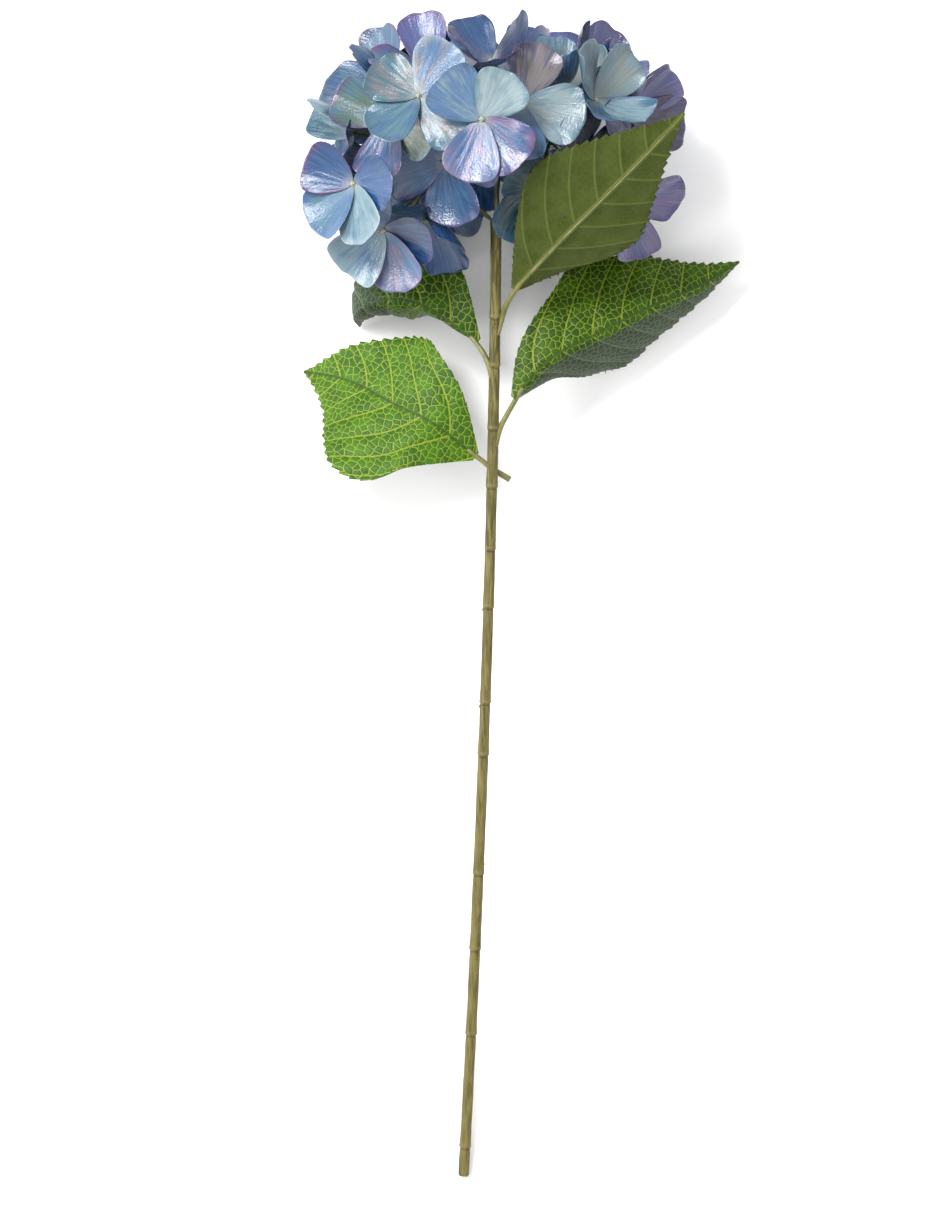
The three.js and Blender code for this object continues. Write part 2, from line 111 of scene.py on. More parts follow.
def stalk_tree():
    """Geometry Nodes: a round stalk of varying thickness along a path, with lengthwise ridges."""
    tree = bpy.data.node_groups.new("stalk_along_a_path", "GeometryNodeTree")
    sockets = {}
    for name, kind in (
        ("Path", "NodeSocketGeometry"),
        ("Sides", "NodeSocketInt"),
        ("Ridge Height", "NodeSocketFloat"),
        ("Ridge Spacing", "NodeSocketVector"),
        ("Material", "NodeSocketMaterial"),
    ):
        socket = tree.interface.new_socket(name, in_out="INPUT", socket_type=kind)
        sockets[name] = socket.identifier
    tree.interface.new_socket("Stalk", in_out="OUTPUT", socket_type="NodeSocketGeometry")
    given = add(tree, "NodeGroupInput").outputs
    line = add(tree, "GeometryNodeMeshToCurve", {"Mesh": given["Path"]}).outputs[0]
    thickness = add(tree, "GeometryNodeInputNamedAttribute", {"Name": "thickness"}).outputs[0]
    circle = {"Resolution": given["Sides"], "Radius": 1.0}
    section = add(tree, "GeometryNodeCurvePrimitiveCircle", circle).outputs[0]
    swept = {"Curve": line, "Profile Curve": section, "Scale": thickness, "Fill Caps": True}
    skin = add(tree, "GeometryNodeCurveToMesh", swept).outputs[0]
    place = add(tree, "GeometryNodeInputPosition").outputs[0]
    scaled = {0: place, 1: given["Ridge Spacing"]}
    where = add(tree, "ShaderNodeVectorMath", scaled, operation="DIVIDE").outputs[0]
    grain = add(tree, "ShaderNodeTexNoise", {"Vector": where, "Scale": 1.0, "Detail": 2.0}).outputs[0]
    centred = add(tree, "ShaderNodeMath", {0: grain, 1: 0.5}, operation="SUBTRACT").outputs[0]
    height = {0: centred, 1: given["Ridge Height"]}
    swell = add(tree, "ShaderNodeMath", height, operation="MULTIPLY").outputs[0]
    outward = add(tree, "GeometryNodeInputNormal").outputs[0]
    push = add(tree, "ShaderNodeVectorMath", {0: outward, "Scale": swell}, operation="SCALE")
    moved = {"Geometry": skin, "Offset": push.outputs[0]}
    ridged = add(tree, "GeometryNodeSetPosition", moved).outputs[0]
    smooth = add(tree, "GeometryNodeSetShadeSmooth", {"Geometry": ridged}).outputs[0]
    real = add(tree, "GeometryNodeRealizeInstances", {"Geometry": smooth}).outputs[0]
    painted = {"Geometry": real, "Material": given["Material"]}
    finished = add(tree, "GeometryNodeSetMaterial", painted).outputs[0]
    add(tree, "NodeGroupOutput", {0: finished})
    return tree, sockets


STALK_TREE, STALK_SOCKETS = stalk_tree()


def placed(name, mesh):
    """A new object at the origin that holds a mesh."""
    made = bpy.data.objects.new(name, mesh)
    bpy.context.scene.collection.objects.link(made)
    return made


def settled(piece):
    """Turns what a piece's modifiers make of it into its own plain mesh."""
    seen = piece.evaluated_get(bpy.context.evaluated_depsgraph_get())
    mesh = bpy.data.meshes.new_from_object(seen)
    mesh.name = piece.name
    piece.modifiers.clear()
    piece.data = mesh
    return piece


def joined(name, pieces):
    """Several objects made into one."""
    with bpy.context.temp_override(active_object=pieces[0], selected_editable_objects=pieces):
        bpy.ops.object.join()
    pieces[0].name = name
    pieces[0].data.name = name
    return pieces[0]


def stalk(name, path, thickness, finish, sides, ridge=0.0, spacing=(1, 1, 1), collar=None):
    """A stalk through the points of a path, in metres, with a radius for each point."""
    mesh = bpy.data.meshes.new(name)
    mesh.from_pydata([tuple(p) for p in path], [(i, i + 1) for i in range(len(path) - 1)], [])
    mesh.attributes.new("thickness", "FLOAT", "POINT").data.foreach_set("value", thickness)
    marks = np.zeros(len(path)) if collar is None else collar
    mesh.attributes.new("collar", "FLOAT", "POINT").data.foreach_set("value", marks)
    piece = placed(name, mesh)
    grower = piece.modifiers.new("stalk", "NODES")
    grower.node_group = STALK_TREE
    values = {"Sides": sides, "Ridge Height": ridge, "Ridge Spacing": spacing, "Material": finish}
    for socket, value in values.items():
        grower[STALK_SOCKETS[socket]] = value
    return settled(piece)


def moulded_stem():
    """Matt moulded plastic, olive brown: darker towards the head, tan on the collars' lips, with painted
    shade in the pinch under each lip.
    """
    made, tree, surface = material("moulded_bark_plastic", Roughness=0.5, IOR=1.49, Specular_IOR_Level=0.25)
    place = add(tree, "ShaderNodeTexCoord").outputs["Object"]
    # Streaks of pigment about 1.5 mm wide and 30 mm long run along the stem.
    streak_size = (1 / 0.0015, 1 / 0.03, 1 / 0.0015)
    long_way = add(tree, "ShaderNodeVectorMath", {0: place, 1: streak_size}, operation="MULTIPLY").outputs[0]
    streaks = {"Vector": long_way, "Scale": 1.0, "Detail": 4.0, "Roughness": 0.6}
    streak = add(tree, "ShaderNodeTexNoise", streaks).outputs[0]
    cloud = add(tree, "ShaderNodeTexNoise", {"Vector": place, "Scale": 28.0, "Detail": 2.0}).outputs[0]
    along = add(tree, "ShaderNodeSeparateXYZ", {0: place}).outputs[1]
    collar = add(tree, "ShaderNodeAttribute", attribute_name="collar").outputs["Fac"]
    darkening, dark = (float(cut_end[1]) + distance for distance in STEM_DARKENS)
    layers = [
        (along, darkening, dark, 1, linear("#49451e")),
        (streak, 0.42, 0.68, 1, linear("#746b3f")),
        (streak, 0.5, 0.25, 1, linear("#393615")),
        (cloud, 0.55, 0.75, 0.5, linear("#4a4e21")),
        (collar, 0.1, 1, 0.55, linear("#786e44")),
        # painted shade: a dark band in the pinch just under each collar's lip
        (collar, -0.1, -1, 0.7, linear("#2c2911")),
    ]
    tree.links.new(painted(tree, linear("#625930"), layers), surface.inputs["Base Color"])
    fine = {"Vector": long_way, "Scale": 2.2, "Detail": 3.0}
    pores = add(tree, "ShaderNodeTexNoise", fine).outputs[0]
    bump = {"Height": pores, "Strength": 0.45, "Distance": 0.0004}
    tree.links.new(add(tree, "ShaderNodeBump", bump).outputs[0], surface.inputs["Normal"])
    return made


STEM_STEP = 0.8 * MM
STEM_SIDES = 32
STALK_SIDES = 12  # of every thinner stalk
STEM_RIDGE = 0.55 * MM
STEM_RIDGE_SPACING = (1.7 * MM, 26 * MM, 1.7 * MM)
STEM_CROWN = 2.2 * MM  # the fork's domed end, which the rays stand in
CROWN_STEPS = (0.35, 0.7, 0.9, 1.0)
CUT_ROUNDING = 0.8 * MM
CUT_SHARE = 0.86  # the cut end's radius against the stem's own
FORK_FLARE = 7  # millimetres over which the stem swells to its fork
COLLAR_PINCH = 0.06  # how much narrower the stem is just before a collar
COLLAR_RISE = 0.9  # millimetres from a collar's start to its full height
COLLAR_LIP = 1.2  # millimetres from its start to where it begins to fade
COLLAR_FADE = 4.5  # millimetres in which it falls to a third


def stem_piece():
    along = np.arange(0, STEM_LENGTH + STEM_STEP / 2, STEM_STEP)
    path = [stem_at(y / STEM_LENGTH) for y in along]
    radius = np.ones(len(along))
    collar = np.zeros(len(along))
    dice = np.random.default_rng(11)
    for share in STEM_NODES:
        past = (along - share * STEM_LENGTH) / MM
        lip = dice.uniform(0.8, 1.1)
        radius += np.where(past < 0, -COLLAR_PINCH * np.exp(-((past / 1.6) ** 2)), 0)
        fading = np.exp(-np.clip(past - COLLAR_LIP, 0, None) / COLLAR_FADE)
        radius += (COLLAR_SWELL - 1) * lip * np.clip(past / COLLAR_RISE, 0, 1) * fading * (past >= 0)
        # collar is high on each lip and low in the pinch just under it, where the painted shade goes
        collar += np.exp(-(((past - 1.4) / 1.3) ** 2)) - np.exp(-(((past + 0.4) / 0.7) ** 2))
    radius += (COLLAR_SWELL - 1) * np.exp(-((STEM_LENGTH - along) / MM / FORK_FLARE))
    radius *= CUT_SHARE + (1 - CUT_SHARE) * np.sqrt(np.clip(along / CUT_ROUNDING, 0, 1))
    for step in CROWN_STEPS:
        path.append(stem_at(1 + step * STEM_CROWN / STEM_LENGTH))
        radius = np.append(radius, radius[len(along) - 1] * math.sqrt(1.0001 - step**2))
        collar = np.append(collar, 0)
    bark_plastic = moulded_stem()
    girth = radius * STEM_RADIUS
    parts = [
        stalk("stem_cane", path, girth, bark_plastic, STEM_SIDES, STEM_RIDGE, STEM_RIDGE_SPACING, collar)
    ]
    for share, bearing in SIDE_NUBS:
        turn = math.radians(bearing)
        out = np.array([math.cos(turn), 0.25, math.sin(turn)])
        start = stem_at(share) + out * STEM_RADIUS * 0.6
        line = [start + out * MM * step for step in (0, 0.6, 1.1, 1.5, 1.8)]
        girth = np.array([1.3, 1.25, 1.05, 0.7, 0.15]) * MM
        parts.append(stalk("nub", line, girth, bark_plastic, STALK_SIDES, 0.15 * MM, (MM, MM, MM)))
    return joined("stem_bark", parts)


bark = stem_piece()
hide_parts("stem")
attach(bark, "root")


# ------------------------------------------------------------------------------------------------
# Leaves. Four toothed blades of stiffened polyester cloth, printed with net veins on the upper
# face and plain olive below, each with its veins pressed in and glued on a plastic stalk that is
# pushed into the stem beside a node.

LEAF_OUTLINE = (  # half-width as a share of the widest, at shares of the midrib
    (0, 0.06), (0.05, 0.46), (0.14, 0.82), (0.3, 1), (0.5, 0.99),
    (0.66, 0.8), (0.78, 0.46), (0.87, 0.18), (1, 0.015),
)
BROAD_OUTLINE = (  # the lowest leaf is rounder, with a drawn-out tip
    (0, 0.06), (0.05, 0.5), (0.14, 0.84), (0.3, 1), (0.5, 1),
    (0.66, 0.88), (0.77, 0.58), (0.84, 0.28), (0.9, 0.12), (1, 0.012),
)
LEAF_THICKNESS = 0.45 * MM
LOWEST = 0.6 * MM  # no thin skin or rib comes nearer to the surface that the flower lies on
LEAF_ROWS = 300
LEAF_COLUMNS = 57
PETIOLE_RADIUS = 1.5 * MM
BESIDE_STEM = 5.19  # the petiole's middle from the stem's, in millimetres
TOOTH_PITCH = 4.6  # millimetres along the margin
TOOTH_DEPTH = 1.5
TOOTH_BACK = 0.78  # a tooth's long back, as a share of its pitch
TOOTH_LEAN = 1.2  # how far a tooth's point leans towards the tip, in millimetres
TEETH_START = 14  # millimetres over which the teeth grow from the base, and fade before the tip
TEETH_END = 10
FOLD_STEPS = 199  # how finely the fold's curve across a half is worked out
FOLD_START = 0.1  # the fold is full at this share of the half-width
MARGIN = 0.8  # the margin starts at this share of the half-width
VEIN_SPACING = 19.0  # between side veins along the midrib, in millimetres
VEIN_SLANT = 0.62  # how far forward a side vein runs for each millimetre outward
VEIN_CURL = 0.011  # and how much more it turns forward further out, per millimetre
NET_CELLS = ((3.7, 0.75), (1.9, 0.9))  # millimetres across and unevenness, of each net
RUFFLE = 0.9 * MM  # how far each of the three waves lifts the margin, at the most
RUFFLE_PERIODS = (5.5, 9.0, 14.0)  # millimetres along the blade in which a wave turns a radian
QUILT = 0.75 * MM  # how far the cloth stands up between the pressed veins

# Offsets from the stem's axis at the node, in millimetres: the stalk from its free end, then the
# blade's midrib from base to tip. Each half has its width and how far it folds towards the face.
LEAVES = {
    "leaf_lower_left": {
        "node": 0.745,
        "petiole": [(10, -6, -BESIDE_STEM), (0, 0, -BESIDE_STEM), (-5, 4, -BESIDE_STEM)],
        "midrib": [(-9, 7, -6), (-34, 26, -3), (-54, 36, -10), (-80, 50, -26), (-106, 56, -45)],
        "up": (0.1, 0.1, 1),
        "left": (49, 5),
        "right": (40, 5),
        "outline": BROAD_OUTLINE,
    },
    "leaf_right": {
        "node": 0.785,
        "petiole": [(BESIDE_STEM, 0, 0), (7.5, 8, 2)],
        "midrib": [(11.5, 17, 6), (30, 38, 7), (57, 53, 2), (88, 69, -7), (115, 81, -16), (138, 95, -26)],
        "up": (0, 0.05, 1),
        "left": (42, -14),
        "right": (42, -64),
    },
    "leaf_upper_right": {
        "node": 0.9,
        "petiole": [(BESIDE_STEM, 0, 0), (6.5, 8, 6)],
        "midrib": [(10.5, 15, 16), (35.5, 40, 42), (58.5, 62, 58), (80.5, 84, 63), (102.5, 108, 58)],
        "up": (-0.15, 0.15, -1),
        "left": (34, 20),
        "right": (39, -4),
    },
    "leaf_behind_left": {
        "node": 0.854,
        "petiole": [(-BESIDE_STEM, 0, 0), (-7, 7, -2)],
        "midrib": [
            (-9, 12, -4), (-43, 34, -8), (-62, 36, -15), (-75, 32, -27), (-79, 27, -40), (-76, 23, -52)
        ],
        "up": (-0.6, 0.3, 1),
        "left": (34, -92),
        "right": (40, -4),
    },
}


def smooth_line(points, power, mirrored_ends):
    """Points close together on a Catmull-Rom line. power 0 spaces its knots evenly, 0.5 centripetally."""
    points = [np.array(p, float) for p in points]
    before = 2 * points[0] - points[1] if mirrored_ends else points[0]
    after = 2 * points[-1] - points[-2] if mirrored_ends else points[-1]
    run = [before, *points, after]
    line = []
    for a, b, c, d in zip(run, run[1:], run[2:], run[3:]):
        if power:
            gaps = [max(np.linalg.norm(q - p) ** power, 1e-9) for p, q in ((a, b), (b, c), (c, d))]
            first = (b - a) / gaps[0] - (c - a) / (gaps[0] + gaps[1]) + (c - b) / gaps[1]
            second = (c - b) / gaps[1] - (d - b) / (gaps[1] + gaps[2]) + (d - c) / gaps[2]
            first, second = first * gaps[1], second * gaps[1]
        else:
            first, second = (c - a) / 2, (d - b) / 2
        for t in np.linspace(0, 1, 80, endpoint=False):
            cube = 2 * b - 2 * c + first + second
            square = 3 * c - 3 * b - 2 * first - second
            line.append(b + first * t + square * t**2 + cube * t**3)
    line.append(points[-1])
    return np.array(line)


def even_shares(line, shares):
    """Where a line is at shares of its length."""
    steps = np.linalg.norm(np.diff(line, axis=0), axis=1)
    gone = np.concatenate([[0], np.cumsum(steps)])
    return np.array([np.interp(shares * gone[-1], gone, line[:, k]) for k in range(line.shape[1])]).T


def unit(vectors):
    return vectors / np.linalg.norm(vectors, axis=-1, keepdims=True)


def shell(name, points, thickness, maps, colours, finishes):
    """A closed thin skin round a grid of points. maps: UV maps; colours: point attributes;
    finishes: the materials of the face that the grid's normal shows, and of its back and rim."""
    rows, columns, _ = points.shape
    points[..., 2] = np.maximum(points[..., 2], LOWEST)
    normal = unit(np.cross(np.gradient(points, axis=0), np.gradient(points, axis=1)))
    half = np.broadcast_to(thickness, (rows, columns))[..., None] / 2
    corners = np.concatenate([points + normal * half, points - normal * half]).reshape(-1, 3)
    count = rows * columns
    index = np.arange(count).reshape(rows, columns)
    a, b, c, d = (index[:-1, :-1], index[:-1, 1:], index[1:, 1:], index[1:, :-1])
    face = np.stack([a, d, c, b], axis=-1).reshape(-1, 4)
    rim = np.concatenate([index[0, :-1], index[:-1, -1], index[-1, :0:-1], index[:0:-1, 0]])
    ahead = np.roll(rim, -1)
    band = np.stack([rim, ahead, ahead + count, rim + count], axis=-1)
    faces = np.concatenate([face, face[:, ::-1] + count, band])
    mesh = bpy.data.meshes.new(name)
    mesh.from_pydata(corners.tolist(), [], faces.tolist())
    around = np.array([loop.vertex_index for loop in mesh.loops]) % count
    for map_name, flat in maps.items():
        layer = mesh.uv_layers.new(name=map_name)
        layer.data.foreach_set("uv", flat.reshape(-1, 2)[around].ravel())
    for colour_name, values in colours.items():
        layer = mesh.attributes.new(colour_name, "FLOAT_COLOR", "POINT")
        whole = np.broadcast_to(values, (rows, columns, 4)).reshape(-1, 4)
        layer.data.foreach_set("color", np.concatenate([whole, whole]).ravel())
    for finish in finishes:
        mesh.materials.append(finish)
    which = np.concatenate([np.zeros(len(face), int), np.ones(len(face) + len(band), int)])
    mesh.polygons.foreach_set("material_index", which)
    mesh.polygons.foreach_set("use_smooth", np.ones(len(faces), bool))
    mesh.update()
    return placed(name, mesh)


def vein_distance(along, across):
    """Millimetres from the nearest side vein, at a place on the flat blade."""
    out = np.abs(across)
    start = along - VEIN_SLANT * out - VEIN_CURL * out**2
    off = np.abs((start / VEIN_SPACING + 0.5) % 1 - 0.5) * VEIN_SPACING
    return off / np.sqrt(1 + (VEIN_SLANT + 2 * VEIN_CURL * out) ** 2)


def leaf_veins(tree):
    """Nodes that read the blade's flat map, in millimetres: the distances from midrib, side vein,
    net vein and the finest net."""
    flat = add(tree, "ShaderNodeUVMap", uv_map="flat_blade").outputs[0]
    along, across, _ = add(tree, "ShaderNodeSeparateXYZ", {0: flat}).outputs
    out = add(tree, "ShaderNodeMath", {0: across}, operation="ABSOLUTE").outputs[0]
    curl = {0: out, 1: VEIN_CURL, 2: VEIN_SLANT}
    slant = add(tree, "ShaderNodeMath", curl, operation="MULTIPLY_ADD").outputs[0]
    forward = add(tree, "ShaderNodeMath", {0: out, 1: slant}, operation="MULTIPLY").outputs[0]
    start = add(tree, "ShaderNodeMath", {0: along, 1: forward}, operation="SUBTRACT").outputs[0]
    side = add(tree, "ShaderNodeMath", {0: start, 1: VEIN_SPACING / 2}, operation="PINGPONG").outputs[0]
    wander = add(tree, "ShaderNodeTexNoise", {"Vector": flat, "Scale": 0.3, "Detail": 1.0}).outputs[1]
    shift = {0: wander, 1: (1.8, 1.8, 0), 2: (-0.9, -0.9, 0)}
    wander = add(tree, "ShaderNodeVectorMath", shift, operation="MULTIPLY_ADD").outputs[0]
    lanes = add(tree, "ShaderNodeVectorMath", {0: flat, 1: wander}, operation="ADD").outputs[0]
    nets = []
    for cell, unevenness in NET_CELLS:
        cells = {"Vector": lanes, "Scale": 1 / cell, "Randomness": unevenness}
        edges = {"voronoi_dimensions": "2D", "feature": "DISTANCE_TO_EDGE"}
        nets.append(add(tree, "ShaderNodeTexVoronoi", cells, **edges).outputs[0])
    return flat, out, side, *nets


def drawn_veins(tree, veins):
    """How strongly the veins' lines show. A kind of vein is its distance, where its line starts,
    where it is full, and how strong it is then."""
    shown = 0.0
    for distance, start, full, strength in veins:
        eased = {"Value": distance, "From Min": start, "From Max": full, "To Max": strength}
        line = add(tree, "ShaderNodeMapRange", eased, interpolation_type="SMOOTHSTEP").outputs[0]
        shown = add(tree, "ShaderNodeMath", {0: shown, 1: line}, operation="MAXIMUM").outputs[0]
    return shown


def printed_and_shaded_leaf(name, body_hex, deep_hex, vein_hex, shaded):
    """Polyester cloth printed mid green with a yellow-green net, lightly waxed: a soft satin gloss.
    Past a line across the blade or along it, where the blade turns away from the light, a darker, bluer copy
    of the print is painted shade."""
    made, tree, surface = material(name, Roughness=0.45, IOR=1.5, Specular_IOR_Level=0.18)
    flat, out, side, net, small = leaf_veins(tree)
    cloud = add(tree, "ShaderNodeTexNoise", {"Vector": flat, "Scale": 1 / 14, "Detail": 3.0}).outputs[0]
    deep = linear(deep_hex)
    # Painted shade darkens a band about 3 mm wide beside each side vein, where the vein is pressed in.
    body = painted(tree, linear(body_hex), [(cloud, 0.35, 0.65, 1, deep), (side, 3.4, 0.6, 0.85, deep)])
    # Net lines are about 0.4 mm wide, side veins 0.7 mm, and the midrib's crease has a band of painted shade
    # 1.4 mm wide.
    lines = [(net, 0.08, 0.025, 0.85), (small, 0.1, 0.02, 0.08), (side, 0.85, 0.35, 0.85)]
    veins = drawn_veins(tree, lines)
    veined = {0: veins, 6: body, 7: linear(vein_hex)}
    green = add(tree, "ShaderNodeMix", veined, data_type="RGBA").outputs[2]
    # A darker, bluer copy of the print and its veins: painted shade where the blade turns away from the
    # light.
    veined = {0: veins, 6: linear("#1e2b18"), 7: linear("#475c3c")}
    painted_shade_copy = add(tree, "ShaderNodeMix", veined, data_type="RGBA").outputs[2]
    axis, start, end = shaded
    place = add(tree, "ShaderNodeSeparateXYZ", {0: flat}).outputs[axis]
    # Painted shade along the midrib's crease, then the painted-shade copy of the print past the given line.
    layers = [(out, 1.1, 0.5, 0.8, linear("#2c4214")), (place, start, end, 0.9, painted_shade_copy)]
    tree.links.new(painted(tree, green, layers), surface.inputs["Base Color"])
    weave = add(tree, "ShaderNodeTexNoise", {"Vector": flat, "Scale": 2.5, "Detail": 2.0}).outputs[0]
    eased = {"Value": net, "From Min": 0.0, "From Max": 0.3}
    puff = add(tree, "ShaderNodeMapRange", eased, interpolation_type="SMOOTHSTEP").outputs[0]
    height = add(tree, "ShaderNodeMath", {0: weave, 1: 0.25, 2: puff}, operation="MULTIPLY_ADD").outputs[0]
    bump = {"Height": height, "Strength": 0.5, "Distance": 0.0004}
    tree.links.new(add(tree, "ShaderNodeBump", bump).outputs[0], surface.inputs["Normal"])
    return made


def leaf_back():
    """The unprinted back of the same cloth: matt olive with paler veins that stand out."""
    made, tree, surface = material("leaf_cloth_back", Roughness=0.62, IOR=1.5, Specular_IOR_Level=0.15)
    flat, out, side, net, small = leaf_veins(tree)
    cloud = add(tree, "ShaderNodeTexNoise", {"Vector": flat, "Scale": 1 / 11, "Detail": 3.0}).outputs[0]
    body = painted(tree, linear("#353f10"), [(cloud, 0.3, 0.7, 1, linear("#3e491a"))])
    lines = [(net, 0.1, 0.03, 0.16), (small, 0.12, 0.03, 0.08), (side, 1.1, 0.3, 0.6), (out, 2.0, 1.0, 0.8)]
    veins = drawn_veins(tree, lines)
    veined = {0: veins, 6: body, 7: linear("#5a642f")}
    olive = add(tree, "ShaderNodeMix", veined, data_type="RGBA").outputs[2]
    tree.links.new(olive, surface.inputs["Base Color"])
    weave = add(tree, "ShaderNodeTexNoise", {"Vector": flat, "Scale": 3.0, "Detail": 2.0}).outputs[0]
    height = add(tree, "ShaderNodeMath", {0: weave, 1: 0.3, 2: veins}, operation="MULTIPLY_ADD").outputs[0]
    bump = {"Height": height, "Strength": 0.4, "Distance": 0.0004}
    tree.links.new(add(tree, "ShaderNodeBump", bump).outputs[0], surface.inputs["Normal"])
    return made


def stalk_plastic(name, main_hex, pale_hex, dark_hex):
    """Soft polyethylene stalk, moulded: olive green, a little glossy, mottled over a few millimetres."""
    made, tree, surface = material(name, Roughness=0.45, IOR=1.5)
    place = add(tree, "ShaderNodeTexCoord").outputs["Object"]
    mottle = {"Vector": place, "Scale": 1 / 0.006, "Detail": 3.0, "Roughness": 0.6}
    spots = add(tree, "ShaderNodeTexNoise", mottle).outputs[0]
    layers = [(spots, 0.4, 0.7, 1, linear(pale_hex)), (spots, 0.45, 0.25, 1, linear(dark_hex))]
    tree.links.new(painted(tree, linear(main_hex), layers), surface.inputs["Base Color"])
    bump = {"Height": spots, "Strength": 0.35, "Distance": 0.0004}
    tree.links.new(add(tree, "ShaderNodeBump", bump).outputs[0], surface.inputs["Normal"])
    return made


def leaf_blade(name, leaf, dice, finishes):
    """The blade as a grid, with its folds, teeth, pressed veins and waves, and its midrib's line."""
    root = stem_at(leaf["node"])
    line = smooth_line([root + np.array(p) * MM for p in leaf["midrib"]], 0.5, True)
    outline = smooth_line(leaf.get("outline", LEAF_OUTLINE), 0, False)
    shares = np.linspace(0, 1, LEAF_ROWS)
    middle = even_shares(line, shares)
    ahead = unit(np.gradient(middle, axis=0))
    up = unit(np.array(leaf["up"], float))
    face = unit(up - (ahead @ up)[:, None] * ahead)
    leftward = np.cross(face, ahead)
    width = np.maximum(even_shares(outline, shares)[:, 1], 0.02)
    length = np.linalg.norm(np.diff(middle, axis=0), axis=1).sum() / MM
    along = shares * length
    across = np.linspace(-1, 1, LEAF_COLUMNS)
    out = np.abs(across)
    points = np.zeros((LEAF_ROWS, LEAF_COLUMNS, 3))
    flat = np.zeros((LEAF_ROWS, LEAF_COLUMNS, 2))
    reach = np.zeros((LEAF_ROWS, LEAF_COLUMNS))
    tooth = (along / TOOTH_PITCH) % 1
    saw = np.where(tooth < TOOTH_BACK, tooth / TOOTH_BACK, (1 - tooth) / (1 - TOOTH_BACK)) - 0.5
    grown = np.clip(along / TEETH_START, 0, 1) * np.clip((length - along) / TEETH_END, 0, 1)
    margin = np.clip((out - MARGIN) / (1 - MARGIN), 0, 1) ** 1.5
    for side, (wide, fold) in ((1, leaf["left"]), (-1, leaf["right"])):
        here = np.sign(across) == side if side > 0 else across <= 0
        a = out[here]
        # The fold starts softly at the midrib, so the two halves meet in a round crease.
        steps = np.linspace(0, 1, FOLD_STEPS + 1)
        tilt = np.radians(fold) * np.clip(steps / FOLD_START, 0, 1) * (0.82 + 0.36 * steps)
        flatly = np.concatenate([[0], np.cumsum(np.cos(tilt[1:]))]) / FOLD_STEPS
        rising = np.concatenate([[0], np.cumsum(np.sin(tilt[1:]))]) / FOLD_STEPS
        size = width * wide * MM
        toothed = size + (saw * TOOTH_DEPTH * grown * MM)
        spread = size[:, None] * (1 - margin[here]) + toothed[:, None] * margin[here]
        sideways = side * np.interp(a, steps, flatly)
        lifted = np.interp(a, steps, rising)
        points[:, here] = middle[:, None] + spread[..., None] * (
            sideways[None, :, None] * leftward[:, None] + lifted[None, :, None] * face[:, None]
        )
        # Teeth lean towards the tip.
        lean = (saw * grown * TOOTH_LEAN * MM)[:, None] * margin[here]
        points[:, here] += lean[..., None] * ahead[:, None]
        reach[:, here] = spread / MM * a
        flat[:, here, 1] = side * spread / MM * a
    flat[..., 0] = along[:, None]
    normal = unit(np.cross(np.gradient(points, axis=0), np.gradient(points, axis=1)))
    off = np.minimum(vein_distance(flat[..., 0], flat[..., 1]), np.abs(flat[..., 1]) * 1.2)
    quilt = QUILT * (1 - np.exp(-((off / 2.6) ** 2))) * np.clip(width * 3, 0, 1)[:, None]
    wave = np.zeros_like(reach)
    for period in RUFFLE_PERIODS:
        strength = math.sin(dice.uniform(0, 6))
        wave += strength * np.sin(flat[..., 0] / period + dice.uniform(0, 6) + np.sign(flat[..., 1]))
    ruffle = RUFFLE * wave * (reach / reach.max()) ** 2
    points += normal * (quilt + ruffle)[..., None]
    thin = LEAF_THICKNESS * (1 - 0.5 * np.clip((out - 0.85) / 0.15, 0, 1))
    return shell(name, points, thin, {"flat_blade": flat}, {}, finishes), middle, face


# Body, deep and vein colours, then where the painted shade on the part turned from the light starts
# and is full: along (0) or across (1) the blade, in millimetres.
PRINTS_AND_SHADES = {
    "leaf_lower_left": ("#3b630c", "#294d09", "#7a8d20", (1, 60, 70)),
    "leaf_right": ("#2e4d02", "#1d3605", "#708219", (1, -2, -7)),
    "leaf_upper_right": ("#2e4d02", "#1d3605", "#708219", (1, 60, 70)),
    "leaf_behind_left": ("#2c4d05", "#1a3505", "#6f811b", (0, 56, 70)),
}
# A short petiole starts in the stem at HEEL and leaves the bark at ELBOW: a share of its first
# point's way aside, then millimetres along the stem and up.
HEEL = (0.2, -9, 0)
ELBOW = (0.72, 0.5, 0.3)
PETIOLE_STEPS = 40
MIDRIB_MEETS = 12  # the blade's row where the bare petiole ends
RIB_ROWS = slice(16, -2, 4)  # and the rows whose middles the rib runs under
RIB_START = 0.62  # the rib's radius under the blade's base, as a share of the petiole's
RIB_END = 0.16  # and at the blade's tip
LEAF_STALK = stalk_plastic("leaf_stalk_plastic", "#60612f", "#76733f", "#494f21")
LEAF_BACK = leaf_back()


